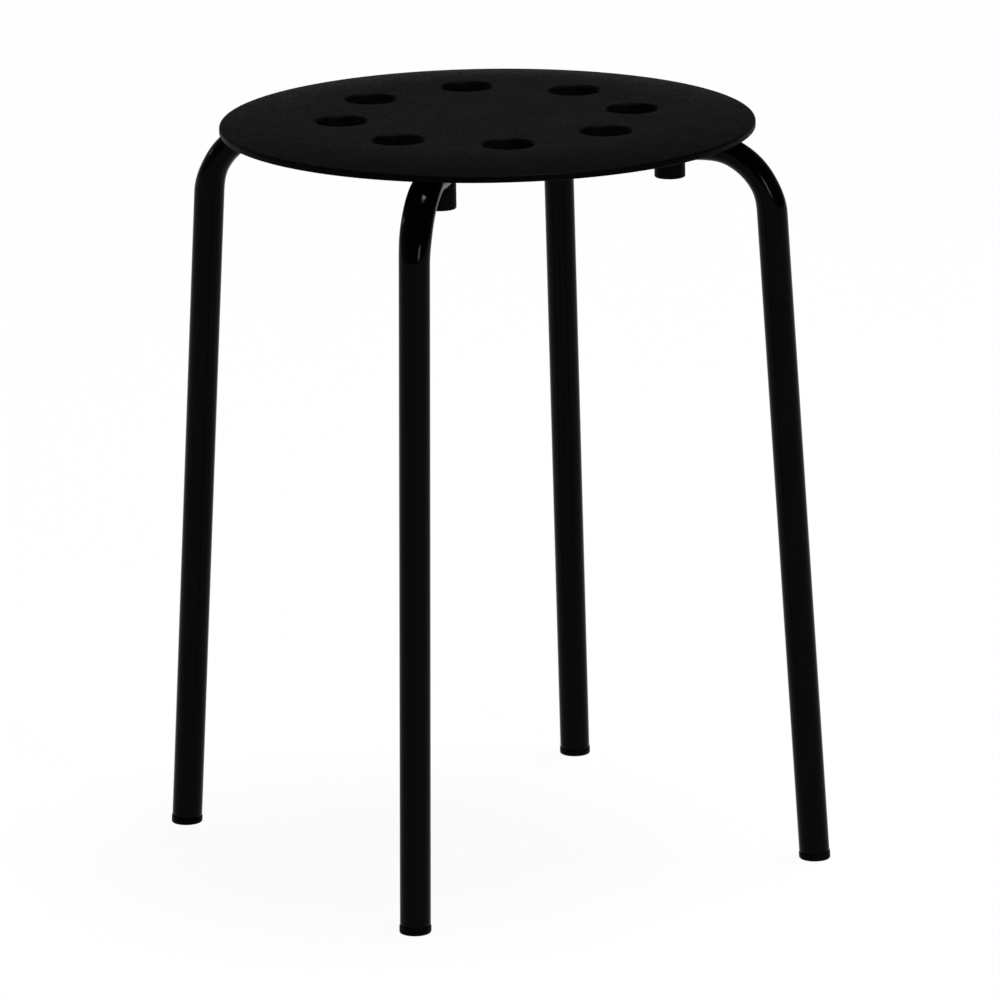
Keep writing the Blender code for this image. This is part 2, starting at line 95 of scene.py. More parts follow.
# Steel tube
FIT_GAP = 0.3 * MM
TUBE_RADIUS = 9.15 * MM
TUBE_WALL = 1.2 * MM
LEG_SPLAY = math.radians(3.4)
BEND_RADIUS = 42.6 * MM
BEND_THICKNESS = 16.1 * MM
BEND_WIDTH = 19.4 * MM
BEND_EASE = 20 * MM
LAP_FLAT_LENGTH = 26 * MM
LAP_EASE = 18 * MM
LAP_GAP = 0.3 * MM
LAP_SQUARENESS = 0.66

# Screws, their bosses and spacers
SCREW_RADIUS = 2.5 * MM
SCREW_LENGTH = 18 * MM
SCREW_HEAD_RADIUS = 4.7 * MM
SCREW_HEAD_HEIGHT = 3 * MM
SCREW_CROWN_ROUND = 1.4 * MM
SCREW_SOCKET_SIZE = 3 * MM
SCREW_SOCKET_DEPTH = 1.9 * MM
SOCKET_CHAMFER = 0.25 * MM
INSERT_RADIUS = 3.7 * MM
INSERT_LENGTH = 9 * MM
BOSS_WALL = 1.5 * MM
SPACER_RADIUS = 9.2 * MM
SPACER_LENGTH = 10.6 * MM
SPACER_SADDLE_HEIGHT = 4.8 * MM
SPACER_EDGE_ROUND = 1 * MM
SPACER_RECESS_CLEARANCE = 0.8 * MM
SPACER_FLOOR = 5.2 * MM

# Foot plugs
FOOT_REACH = 37.2 * MM
CAP_OVERHANG = 0.3 * MM
CAP_HEIGHT = 4.6 * MM
CAP_EDGE_ROUND = 1.2 * MM
CAP_SHOULDER = 0.4 * MM
CAP_STEM_LENGTH = 18 * MM
CAP_STEM_GROOVE = 1.1 * MM
CAP_STEM_RINGS = 2

# Facets, steps round each curve, and small margins
SEAT_FACETS = 192
HOLE_FACETS = 72
TUBE_FACETS = 48
ROUND_FACETS = 48
LAP_STEPS = 14
BEND_STEPS = 36
SADDLE_STEPS = 8
CROWN_STEPS = 16
CORNER_STEPS = 10
LIP_STEPS = 6
UNDER_ROLL_STEPS = 16
RIB_ROLL_STEPS = 8
EDGE_STEPS = 8
MOULDED_EDGE_STEPS = 3
SHOULDER_STEPS = 4
HOLE_EDGE_END_DEGREES = 94
SHARP_ANGLE = math.radians(35)
ROUND_PROFILE = 0.5
FACE_AREA_WEIGHT = 100
WELD_DISTANCE = 0.001 * MM
OVERCUT = 2 * MM
JOIN_DEPTH = 1.2 * MM
GUIDE_EDGE_BAND = 1 * MM
RIB_EDGE_BAND = 0.5 * MM
SCREW_HOLE_MARGIN = 1 * MM

# What follows from the sizes above
FLAT_TOP_RADIUS = SEAT_RADIUS - CROWN_WIDTH
HOLE_CIRCLE_RADIUS = SEAT_RADIUS - HOLE_INSET
UNDERSIDE = SEAT_TOP - SEAT_PLATE
LIP_HEIGHT = SEAT_TOP - CROWN_DROP - RIM_HEIGHT
LIP_ROUND_HEIGHT = LIP_HEIGHT + RIM_LIP_ROUND
BORE_RADIUS = TUBE_RADIUS - TUBE_WALL
CAP_RADIUS = TUBE_RADIUS + CAP_OVERHANG
RUN_HEIGHT = UNDERSIDE - FIT_GAP - TUBE_RADIUS
SCREW_HOLE_RADIUS = SCREW_RADIUS + FIT_GAP
INSERT_HOLE_RADIUS = INSERT_RADIUS + FIT_GAP
BOSS_RADIUS = INSERT_HOLE_RADIUS + BOSS_WALL
BOSS_HOLE_RADIUS = BOSS_RADIUS + FIT_GAP
BOSS_END = RUN_HEIGHT - math.sqrt(BORE_RADIUS ** 2 - BOSS_HOLE_RADIUS ** 2) + FIT_GAP
SCREW_SEAT = RUN_HEIGHT - TUBE_RADIUS - SPACER_FLOOR - 2 * FIT_GAP
TURN = QUARTER_TURN - LEG_SPLAY
SCREW_CIRCLE_RADIUS = sum(corner.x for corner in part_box("spacer_right")) / 2
FOOT_CIRCLE_RADIUS = SEAT_RADIUS + FOOT_REACH
LEG_TOP_RADIUS = FOOT_CIRCLE_RADIUS - RUN_HEIGHT * math.tan(LEG_SPLAY)
RUN_END = LEG_TOP_RADIUS - BEND_RADIUS * math.tan(TURN / 2)
BEND_LENGTH = BEND_RADIUS * TURN


# Mesh tools

def finished_mesh(name, bm):
    """Turn an edited shape into a mesh with its faces out, smooth between its sharp edges."""
    bmesh.ops.recalc_face_normals(bm, faces=bm.faces)
    mesh = bpy.data.meshes.new(name)
    bm.to_mesh(mesh)
    bm.free()
    mesh.shade_smooth()
    mesh.set_sharp_from_angle(angle=SHARP_ANGLE)
    return mesh


def lathe(name, profile, facets):
    """Revolve (radius, height) points about Z."""
    bm = bmesh.new()
    verts = [bm.verts.new((radius, 0, height)) for radius, height in profile]
    edges = [bm.edges.new(pair) for pair in zip(verts, verts[1:])]
    bmesh.ops.spin(bm, geom=verts + edges, cent=(0, 0, 0), axis=(0, 0, 1),
                   angle=math.tau, steps=facets, use_merge=True)
    bmesh.ops.remove_doubles(bm, verts=bm.verts, dist=WELD_DISTANCE)
    return finished_mesh(name, bm)


def loft(name, rings, hollow=False):
    """Skin rings of equal length in order. A hollow loft runs back to its first ring."""
    bm = bmesh.new()
    loops = [[bm.verts.new(point) for point in ring] for ring in rings]
    followers = loops[1:] + loops[:1] if hollow else loops[1:]
    for near, far in zip(loops, followers):
        for i in range(len(near)):
            j = (i + 1) % len(near)
            bm.faces.new((near[i], near[j], far[j], far[i]))
    if not hollow:
        bm.faces.new(loops[0])
        bm.faces.new(loops[-1])
    return finished_mesh(name, bm)


def prism(outline, thickness, rounded_below):
    """A flat plate upright in the XZ plane, with the edges that lie below a height rounded."""
    bm = bmesh.new()
    verts = [bm.verts.new((x, -thickness / 2, z)) for x, z in outline]
    side = bm.faces.new(verts)
    grown = bmesh.ops.extrude_face_region(bm, geom=[side])["geom"]
    moved = [item for item in grown if isinstance(item, bmesh.types.BMVert)]
    bmesh.ops.translate(bm, verts=moved, vec=(0, thickness, 0))
    low_edges = [edge for edge in bm.edges
                 if max(vert.co.z for vert in edge.verts) < rounded_below
                 and abs(edge.verts[0].co.y - edge.verts[1].co.y) < WELD_DISTANCE]
    bmesh.ops.bevel(bm, geom=low_edges, offset=MOULDED_EDGE_ROUND, segments=MOULDED_EDGE_STEPS,
                    profile=ROUND_PROFILE, affect="EDGES")
    return finished_mesh("plate", bm)


def gathered(name, meshes_and_places):
    """One mesh that holds a copy of each mesh at its place."""
    bm = bmesh.new()
    for mesh, place in meshes_and_places:
        first = len(bm.verts)
        bm.from_mesh(mesh)
        bm.verts.ensure_lookup_table()
        bmesh.ops.transform(bm, matrix=place, verts=bm.verts[first:])
    return finished_mesh(name, bm)


def add_object(name, mesh):
    thing = bpy.data.objects.new(name, mesh)
    bpy.context.scene.collection.objects.link(thing)
    return thing


def applied(thing):
    """Bake an object's modifiers into its mesh."""
    seen = bpy.context.evaluated_depsgraph_get()
    seen.update()
    mesh = bpy.data.meshes.new_from_object(thing.evaluated_get(seen))
    thing.modifiers.clear()
    thing.data = mesh


def combine(target, tool_mesh, operation):
    """Join a mesh to the target, or cut it away."""
    tool = add_object(tool_mesh.name, tool_mesh)
    modifier = target.modifiers.new(tool_mesh.name, "BOOLEAN")
    modifier.operation = operation
    modifier.solver = "EXACT"
    modifier.object = tool
    applied(target)
    bpy.data.objects.remove(tool)


def even_shading(thing):
    """Let the large faces keep their own direction, so that only the rounded edges shade as round."""
    thing.data.shade_smooth()
    thing.data.set_sharp_from_angle(angle=SHARP_ANGLE)
    modifier = thing.modifiers.new("even_shading", "WEIGHTED_NORMAL")
    modifier.keep_sharp = True
    modifier.weight = FACE_AREA_WEIGHT
    applied(thing)


def around(angle, radius=0.0, height=0.0):
    """Place a shape at a radius and height, turned about the stool's axis."""
    return Matrix.Rotation(angle, 4, "Z") @ Matrix.Translation((radius, 0, height))


def arc(centre, radius, start, end, steps):
    """Points on an arc, with its angles in degrees from the +radius direction."""
    points = []
    for step in range(steps + 1):
        angle = math.radians(start + (end - start) * step / steps)
        points.append((centre[0] + radius * math.cos(angle), centre[1] + radius * math.sin(angle)))
    return points


def eased(value):
    """A smooth step from 0 to 1."""
    value = min(max(value, 0.0), 1.0)
    return value * value * (3 - 2 * value)


# Seat

def crowned_edge():
    """Points on the top face from the end of its flat, and round the corner above the upright rim."""
    corner_place = SEAT_RADIUS - RIM_CORNER_ROUND
    slope = math.atan(CROWN_POWER * CROWN_DROP / (corner_place - FLAT_TOP_RADIUS))
    width = corner_place + RIM_CORNER_ROUND * math.sin(slope) - FLAT_TOP_RADIUS
    corner = (corner_place, SEAT_TOP - CROWN_DROP - RIM_CORNER_ROUND * math.cos(slope))
    points = []
    for step in range(CROWN_STEPS + 1):
        share = step / CROWN_STEPS
        fall = CROWN_DROP * share ** CROWN_POWER
        points.append((FLAT_TOP_RADIUS + share * width, SEAT_TOP - fall))
    return points + arc(corner, RIM_CORNER_ROUND, 90 - math.degrees(slope), 0, CORNER_STEPS)[1:]


def underside_height(radius, end_radius):
    """Height of the lower face, which is flat in the middle and rolls down until it stands upright."""
    share = max(radius - FLAT_TOP_RADIUS, 0) / (end_radius - FLAT_TOP_RADIUS)
    fall = UNDERSIDE - LIP_ROUND_HEIGHT
    return UNDERSIDE - fall * (1 - math.sqrt(max(1 - share ** UNDER_ROLL_POWER, 0)))


def underside_roll(end_radius, steps):
    """Points on the lower face from the end of its flat to the lip, closer together where it turns."""
    points = []
    for step in range(steps + 1):
        share = math.sin(QUARTER_TURN * step / steps) ** (2 / UNDER_ROLL_POWER)
        radius = FLAT_TOP_RADIUS + share * (end_radius - FLAT_TOP_RADIUS)
        points.append((radius, underside_height(radius, end_radius)))
    return points


def seat_profile():
    """Half section of the plate and its rim, from the top centre round to below it."""
    inner_radius = SEAT_RADIUS - RIM_WALL
    outer_lip = (SEAT_RADIUS - RIM_LIP_ROUND, LIP_ROUND_HEIGHT)
    inner_lip = (inner_radius + RIM_LIP_ROUND, LIP_ROUND_HEIGHT)
    points = [(0, SEAT_TOP)]
    points += crowned_edge()
    points += arc(outer_lip, RIM_LIP_ROUND, 0, -90, LIP_STEPS)
    points += arc(inner_lip, RIM_LIP_ROUND, -90, -180, LIP_STEPS)
    points += underside_roll(inner_radius, UNDER_ROLL_STEPS)[-2::-1]
    points.append((0, UNDERSIDE))
    return points


def hole_places():
    """The holes lie in pairs, half a step to each side of every leg."""
    return [around(math.tau * (i + 0.5) / HOLE_COUNT, HOLE_CIRCLE_RADIUS) for i in range(HOLE_COUNT)]


def hole_cutter():
    """A finger hole. Its rounded upper edge ends a little steeper than level, to cut cleanly."""
    bottom = SEAT_TOP - COLLAR_DEPTH - OVERCUT
    centre = (HOLE_RADIUS + HOLE_EDGE_ROUND, SEAT_TOP - HOLE_EDGE_ROUND)
    profile = [(0, bottom), (HOLE_RADIUS, bottom)]
    profile += arc(centre, HOLE_EDGE_ROUND, 180, HOLE_EDGE_END_DEGREES, EDGE_STEPS)
    above = SEAT_TOP + OVERCUT
    profile += [(centre[0] + HOLE_EDGE_ROUND / 2, above), (0, above)]
    return lathe("hole", profile, HOLE_FACETS)


def cylinder(radius, bottom, top, facets):
    """A round bar with a small rounding at its lower edge."""
    centre = (radius - MOULDED_EDGE_ROUND, bottom + MOULDED_EDGE_ROUND)
    lower = arc(centre, MOULDED_EDGE_ROUND, -90, 0, MOULDED_EDGE_STEPS)
    return lathe("cylinder", [(0, bottom), *lower, (radius, top), (0, top)], facets)


def seat_collars():
    """A collar round each finger hole, still solid."""
    top = UNDERSIDE + JOIN_DEPTH
    collar = cylinder(HOLE_RADIUS + COLLAR_WALL, SEAT_TOP - COLLAR_DEPTH, top, HOLE_FACETS)
    return gathered("seat_collars", [(collar, place) for place in hole_places()])


def seat_stiffeners():
    """Guide walls beside the tubes, and screw bosses between them."""
    top = UNDERSIDE + JOIN_DEPTH
    boss = cylinder(BOSS_RADIUS, BOSS_END, top, ROUND_FACETS)
    guide_bottom = SEAT_TOP - GUIDE_WALL_DEPTH
    guide_end = SEAT_RADIUS - GUIDE_WALL_INSET
    outline = [(GUIDE_WALL_START_RADIUS, top),
               (GUIDE_WALL_START_RADIUS + GUIDE_WALL_SLOPE, guide_bottom),
               (guide_end - GUIDE_WALL_SLOPE, guide_bottom),
               (guide_end, top)]
    guide = prism(outline, GUIDE_WALL_THICKNESS, guide_bottom + GUIDE_EDGE_BAND)
    guide_offset = TUBE_RADIUS + FIT_GAP + GUIDE_WALL_THICKNESS / 2
    pieces = []
    for turn in QUARTER_TURNS:
        pieces.append((boss, around(turn, SCREW_CIRCLE_RADIUS)))
        for side in (-1, 1):
            pieces.append((guide, around(turn) @ Matrix.Translation((0, side * guide_offset, 0))))
    return gathered("seat_stiffeners", pieces)


def seat_radial_ribs():
    """Four deep ribs between the legs, which get shallower towards the rim and end in it."""
    top = UNDERSIDE + JOIN_DEPTH
    bottom = SEAT_TOP - RIB_DEPTH
    taper_radius = SEAT_RADIUS - RIB_TAPER_WIDTH
    end_radius = SEAT_RADIUS - RIM_WALL / 2
    end_height = LIP_HEIGHT + RIB_END_ABOVE_LIP
    outline = [(RIB_START_RADIUS, top), (RIB_START_RADIUS, bottom), (taper_radius, bottom)]
    outline.append((end_radius, end_height))
    for radius, height in reversed(underside_roll(end_radius, RIB_ROLL_STEPS)):
        outline.append((radius, height + JOIN_DEPTH))
    rib = prism(outline, RIB_THICKNESS, end_height + RIB_EDGE_BAND)
    return gathered("seat_radial_ribs", [(rib, around(QUARTER_TURN / 2 + turn)) for turn in QUARTER_TURNS])


def seat_cutters():
    """The finger holes and the blind holes that take the threaded inserts."""
    hole = hole_cutter()
    blind_end = max(BOSS_END + INSERT_LENGTH, SCREW_SEAT + SCREW_LENGTH) + FIT_GAP
    bottom = BOSS_END - OVERCUT
    profile = [(0, bottom), (INSERT_HOLE_RADIUS, bottom), (INSERT_HOLE_RADIUS, blind_end), (0, blind_end)]
    insert_hole = lathe("insert_hole", profile, ROUND_FACETS)
    pieces = [(hole, place) for place in hole_places()]
    pieces += [(insert_hole, around(turn, SCREW_CIRCLE_RADIUS)) for turn in QUARTER_TURNS]
    return gathered("seat_cutters", pieces)


def make_seat(material):
    seat = add_object("fine_seat", lathe("fine_seat", seat_profile(), SEAT_FACETS))
    combine(seat, seat_collars(), "UNION")
    combine(seat, seat_stiffeners(), "UNION")
    combine(seat, seat_radial_ribs(), "UNION")
    combine(seat, seat_cutters(), "DIFFERENCE")
    even_shading(seat)
    stand_in(seat, "seat", material)


# Tube frames

def path_point(distance):
    """Place and direction on the tube's axis, measured along it from the stool's middle to the foot."""
    if distance <= RUN_END:
        return Vector((distance, 0, RUN_HEIGHT)), Vector((1, 0, 0))
    swept = min((distance - RUN_END) / BEND_RADIUS, TURN)
    centre = Vector((RUN_END, 0, RUN_HEIGHT - BEND_RADIUS))
    place = centre + BEND_RADIUS * Vector((math.sin(swept), 0, math.cos(swept)))
    direction = Vector((math.cos(swept), 0, -math.sin(swept)))
    return place + direction * max(distance - RUN_END - BEND_LENGTH, 0), direction


def tube_length():
    """Length of the tube's axis from the stool's middle to where the foot cap starts."""
    leg_start, direction = path_point(RUN_END + BEND_LENGTH)
    return RUN_END + BEND_LENGTH + leg_start.z / -direction.z - CAP_HEIGHT - FIT_GAP


def blended(full, bent, squashed, bend, lap):
    """A measure of the tube's section, between its values in a straight, in a bend and in the lap."""
    return full + bend * (bent - full) + lap * (squashed - full)


def tube_section(distance, lap_side, inset):
    """One ring of the tube: round, flattened in the bend, squashed to half its height in the lap."""
    place, direction = path_point(distance)
    upward = Vector((-direction.z, 0, direction.x))
    lap = 1 - eased((distance - LAP_FLAT_LENGTH / 2) / LAP_EASE)
    into_bend = distance - RUN_END
    bend = eased(into_bend / BEND_EASE) * eased((BEND_LENGTH - into_bend) / BEND_EASE)
    diameter = 2 * TUBE_RADIUS
    lap_thickness = TUBE_RADIUS - LAP_GAP / 2
    middle = diameter - TUBE_WALL
    lap_width = lap_thickness + math.pi * (middle - lap_thickness + TUBE_WALL) / 2
    height = blended(diameter, BEND_THICKNESS, lap_thickness, bend, lap)
    width = blended(diameter, BEND_WIDTH, lap_width, bend, lap)
    power = blended(1, 1, LAP_SQUARENESS, bend, lap)
    place = place + upward * lap * lap_side * (TUBE_RADIUS - lap_thickness / 2)
    ring = []
    for i in range(TUBE_FACETS):
        angle = math.tau * i / TUBE_FACETS
        across = math.copysign(abs(math.cos(angle)) ** power, math.cos(angle))
        along = math.copysign(abs(math.sin(angle)) ** power, math.sin(angle))
        sideways = Vector((0, across * (width / 2 - inset), 0))
        ring.append(place + sideways + upward * along * (height / 2 - inset))
    return ring


def ring_places():
    """Where the tube gets a ring: close together in the lap, at the screw hole and in the bend."""
    places = [LAP_FLAT_LENGTH / 2 + LAP_EASE * i / LAP_STEPS for i in range(LAP_STEPS + 1)]
    places += [SCREW_CIRCLE_RADIUS + side * (BOSS_HOLE_RADIUS + SCREW_HOLE_MARGIN) for side in (-1, 1)]
    places += [RUN_END + BEND_LENGTH * i / BEND_STEPS for i in range(BEND_STEPS + 1)]
    places.append(tube_length())
    return places


def mirrored(ring):
    return [Vector((-point.x, point.y, point.z)) for point in ring]


def frame_mesh(name, lap_side):
    """A hollow tube bent into a U, open at both feet."""
    skins = []
    for inset in (0, TUBE_WALL):
        half = [tube_section(place, lap_side, inset) for place in ring_places()]
        skins.append([mirrored(ring) for ring in reversed(half)] + half)
    outer, inner = skins
    return loft(name, outer + inner[::-1], hollow=True)


def screw_hole_cutters():
    """A wide hole in the tube's upper wall for the boss, and a narrow one below for the screw."""
    depth = 2 * TUBE_RADIUS
    profile = [(0, -depth), (SCREW_HOLE_RADIUS, -depth), (SCREW_HOLE_RADIUS, 0),
               (BOSS_HOLE_RADIUS, 0), (BOSS_HOLE_RADIUS, depth), (0, depth)]
    drill = lathe("drill", profile, ROUND_FACETS)
    places = [around(turn, SCREW_CIRCLE_RADIUS, RUN_HEIGHT) for turn in (0, math.pi)]
    return gathered("screw_holes", [(drill, place) for place in places])


def make_frame(node, lap_side, turn, material):
    tube = add_object("fine_" + node, frame_mesh("fine_" + node, lap_side))
    combine(tube, screw_hole_cutters(), "DIFFERENCE")
    tube.data.shade_smooth()
    tube.data.set_sharp_from_angle(angle=SHARP_ANGLE)
    tube.rotation_euler = (0, 0, turn)
    stand_in(tube, node, material)


# Pieces at each tube end

def ring_of(radius, height_at):
    """A round ring whose height can depend on its place across the tube."""
    points = []
    for i in range(ROUND_FACETS):
        angle = math.tau * i / ROUND_FACETS
        x, y = radius * math.cos(angle), radius * math.sin(angle)
        points.append(Vector((x, y, height_at(y))))
    return points


def level_ring(radius, height):
    return ring_of(radius, lambda y: height)


def saddle_height(y):
    """The spacer's upper face follows the underside of the tube, up to its flat tips."""
    reach = TUBE_RADIUS + FIT_GAP
    tips = -TUBE_RADIUS + SPACER_SADDLE_HEIGHT
    return min(-math.sqrt(max(reach ** 2 - y ** 2, 0)), tips)


def spacer_mesh():
    """A round spacer with a recess below for the screw head. Its origin is on the tube's axis."""
    bottom = -TUBE_RADIUS - FIT_GAP - SPACER_LENGTH
    floor = -TUBE_RADIUS - FIT_GAP - SPACER_FLOOR
    recess = SCREW_HEAD_RADIUS + SPACER_RECESS_CLEARANCE
    inner_edge = (recess + MOULDED_EDGE_ROUND, bottom + MOULDED_EDGE_ROUND)
    outer_edge = (SPACER_RADIUS - SPACER_EDGE_ROUND, bottom + SPACER_EDGE_ROUND)
    profile = [(recess, floor)]
    profile += arc(inner_edge, MOULDED_EDGE_ROUND, 180, 270, MOULDED_EDGE_STEPS)
    profile += arc(outer_edge, SPACER_EDGE_ROUND, -90, 0, EDGE_STEPS)
    rings = [level_ring(r, z) for r, z in profile]
    for step in range(SADDLE_STEPS + 1):
        r = SPACER_RADIUS + (SCREW_HOLE_RADIUS - SPACER_RADIUS) * step / SADDLE_STEPS
        rings.append(ring_of(r, saddle_height))
    rings.append(level_ring(SCREW_HOLE_RADIUS, floor))
    return loft("spacer", rings, hollow=True)


def hexagon_ring(size, height):
    """A ring of points along a hexagon, given by its width across the flats."""
    points = []
    for i in range(ROUND_FACETS):
        angle = math.tau * i / ROUND_FACETS
        from_flat = (angle + math.tau / 12) % (math.tau / 6) - math.tau / 12
        radius = size / 2 / math.cos(from_flat)
        points.append(Vector((radius * math.cos(angle), radius * math.sin(angle), height)))
    return points


def screw_mesh():
    """A pan head screw with a hexagon socket, head down. Its origin is under the head."""
    crown = (SCREW_HEAD_RADIUS - SCREW_CROWN_ROUND, SCREW_CROWN_ROUND - SCREW_HEAD_HEIGHT)
    tip = SCREW_LENGTH - SCREW_RADIUS / 2
    rings = [hexagon_ring(SCREW_SOCKET_SIZE, SCREW_SOCKET_DEPTH - SCREW_HEAD_HEIGHT),
             hexagon_ring(SCREW_SOCKET_SIZE, SOCKET_CHAMFER - SCREW_HEAD_HEIGHT),
             hexagon_ring(SCREW_SOCKET_SIZE + 2 * SOCKET_CHAMFER, -SCREW_HEAD_HEIGHT)]
    rings += [level_ring(r, z) for r, z in arc(crown, SCREW_CROWN_ROUND, -90, 0, EDGE_STEPS)]
    rings += [level_ring(SCREW_HEAD_RADIUS, 0), level_ring(SCREW_RADIUS, 0)]
    rings += [level_ring(SCREW_RADIUS, tip), level_ring(SCREW_RADIUS / 2, SCREW_LENGTH)]
    return loft("screw", rings)


def cap_ring(distance, radius, tilt):
    """A ring round the leg's axis: level where the tilt is 0, square to the leg where it is 1."""
    axis = Vector((-math.sin(LEG_SPLAY), 0, math.cos(LEG_SPLAY)))
    turn = Matrix.Rotation(-LEG_SPLAY * tilt, 3, "Y")
    return [axis * distance + turn @ point for point in level_ring(radius, 0)]


def cap_mesh():
    """A foot plug: a level, rounded sole and a ringed stem up the tube. Its origin is on the floor."""
    stem = BORE_RADIUS - FIT_GAP
    core = stem - CAP_STEM_GROOVE
    sole = (CAP_RADIUS - CAP_EDGE_ROUND, CAP_EDGE_ROUND)
    shoulder = (CAP_RADIUS - CAP_SHOULDER, CAP_HEIGHT - CAP_SHOULDER)
    rings = [cap_ring(z, r, 0) for r, z in arc(sole, CAP_EDGE_ROUND, -90, 0, EDGE_STEPS)]
    rings += [cap_ring(z, r, 1) for r, z in arc(shoulder, CAP_SHOULDER, 0, 90, SHOULDER_STEPS)]
    pitch = CAP_STEM_LENGTH / (2 * CAP_STEM_RINGS)
    for i in range(CAP_STEM_RINGS):
        low = CAP_HEIGHT + pitch * 2 * i
        rings += [cap_ring(low, core, 1), cap_ring(low + pitch, core, 1), cap_ring(low + pitch, stem, 1)]
    rings.append(cap_ring(CAP_HEIGHT + CAP_STEM_LENGTH, core, 1))
    return loft("foot_cap", rings)


def make_end_pieces(plastic, zinc):
    """The fine spacer, screw and foot cap of each of the four tube ends."""
    kinds = (
        ("spacer", spacer_mesh(), "black_plastic", plastic, SCREW_CIRCLE_RADIUS, RUN_HEIGHT),
        ("screw", screw_mesh(), "zinc_plate", zinc, SCREW_CIRCLE_RADIUS, SCREW_SEAT),
        ("foot_cap", cap_mesh(), "black_plastic", plastic, FOOT_CIRCLE_RADIUS, 0),
    )
    for turn, leg in zip(QUARTER_TURNS, LEG_NAMES):
        for kind, mesh, slot, material, radius, height in kinds:
            node = f"{kind}_{leg}"
            piece = add_object("fine_" + node, mesh)
            piece.matrix_world = around(turn, radius, height)
            stand_in(piece, node, material)


def stand_in(piece, node, material):
    """Show a fine piece in place of a node of the solid model."""
    piece.data.materials.clear()
    piece.data.materials.append(material)
    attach(piece, "root")
    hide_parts(node)


# Materials. Noise is given in features per metre, and colours are light levels from 0 to 1.

def grey(level):
    return (level, level, level)


class Surface:
    """A material with one Principled shader, whose textures are laid out by place on the object in metres."""

    def __init__(self, name):
        self.material = bpy.data.materials.new(name)
        self.material.use_nodes = True
        self.tree = self.material.node_tree
        self.shader = self.tree.nodes["Principled BSDF"]
        self.place = self.tree.nodes.new("ShaderNodeTexCoord").outputs["Object"]

    def noise(self, scale, detail, roughness=0.5, stretch=(1, 1, 1)):
        """Soft noise from 0 to 1."""
        mapping = self.tree.nodes.new("ShaderNodeMapping")
        mapping.inputs["Scale"].default_value = stretch
        self.tree.links.new(self.place, mapping.inputs["Vector"])
        node = self.tree.nodes.new("ShaderNodeTexNoise")
        node.inputs["Scale"].default_value = scale
        node.inputs["Detail"].default_value = detail
        node.inputs["Roughness"].default_value = roughness
        self.tree.links.new(mapping.outputs["Vector"], node.inputs["Vector"])
        return node.outputs["Fac"]

    def spread(self, source, low, high, source_low=0.3, source_high=0.7):
        """Stretch a texture's middle range to run from one value to another."""
        node = self.tree.nodes.new("ShaderNodeMapRange")
        node.inputs["From Min"].default_value = source_low
        node.inputs["From Max"].default_value = source_high
        node.inputs["To Min"].default_value = low
        node.inputs["To Max"].default_value = high
        self.tree.links.new(source, node.inputs["Value"])
        return node.outputs["Result"]

    def mixed(self, share, first, second):
        """A colour between two colours."""
        node = self.tree.nodes.new("ShaderNodeMix")
        node.data_type = "RGBA"
        self.tree.links.new(share, node.inputs["Factor"])
        for key, colour in (("A", first), ("B", second)):
            socket = [item for item in node.inputs if item.name == key and item.type == "RGBA"][0]
            socket.default_value = (*colour, 1)
        return [item for item in node.outputs if item.type == "RGBA"][0]

    def averaged(self, first, second):
        """The middle between two textures."""
        node = self.tree.nodes.new("ShaderNodeMix")
        node.inputs["Factor"].default_value = 0.5
        self.tree.links.new(first, node.inputs["A"])
        self.tree.links.new(second, node.inputs["B"])
        return node.outputs["Result"]

    def feed(self, name, source):
        self.tree.links.new(source, self.shader.inputs[name])

    def bump(self, source, depth):
        """Raise and lower the surface by a texture, with the depth in metres."""
        node = self.tree.nodes.new("ShaderNodeBump")
        node.inputs["Strength"].default_value = 1
        node.inputs["Distance"].default_value = depth
        self.tree.links.new(source, node.inputs["Height"])
        self.feed("Normal", node.outputs["Normal"])


def seat_plastic():
    """Matt black plastic with a fine moulded grain, a little blotchy as moulded plastic is."""
    surface = Surface("seat_plastic")
    surface.shader.inputs["Specular IOR Level"].default_value = 0.016
    grain = surface.noise(1300, detail=2, roughness=0.6)
    fleck = surface.spread(surface.noise(520, detail=2), 0, 1, source_low=0.38, source_high=0.62)
    blotch = surface.noise(90, detail=2)
    surface.feed("Base Color", surface.mixed(fleck, grey(0.0004), grey(0.0013)))
    surface.feed("Roughness", surface.spread(surface.averaged(fleck, blotch), 0.44, 0.56))
    surface.bump(grain, 0.04 * MM)
    return surface.material


def powder_coat():
    """Glossy black powder coat with a faint orange peel."""
    surface = Surface("black_powder_coat")
    surface.shader.inputs["Specular IOR Level"].default_value = 0.036
    peel = surface.noise(420, detail=1)
    cloud = surface.noise(45, detail=3)
    surface.feed("Base Color", surface.mixed(cloud, grey(0.0002), grey(0.0006)))
    surface.feed("Roughness", surface.spread(cloud, 0.10, 0.14))
    surface.bump(peel, 0.02 * MM)
    return surface.material


def black_plastic():
    """Satin black plastic, a little uneven in its gloss."""
    surface = Surface("black_plastic")
    surface.shader.inputs["Specular IOR Level"].default_value = 0.02
    grain = surface.noise(1800, detail=2)
    cloud = surface.noise(220, detail=3)
    surface.feed("Base Color", surface.mixed(cloud, grey(0.0005), grey(0.0012)))
    surface.feed("Roughness", surface.spread(cloud, 0.42, 0.55))
    surface.bump(grain, 0.02 * MM)
    return surface.material


def zinc_plate():
    """Bright zinc plate, a little uneven."""
    surface = Surface("zinc_plate")
    surface.shader.inputs["Metallic"].default_value = 1
    cloud = surface.noise(500, detail=3)
    surface.feed("Base Color", surface.mixed(cloud, (0.52, 0.53, 0.55), (0.68, 0.69, 0.70)))
    surface.feed("Roughness", surface.spread(cloud, 0.24, 0.38))
    surface.bump(surface.noise(2500, detail=1), 0.01 * MM)
    return surface.material


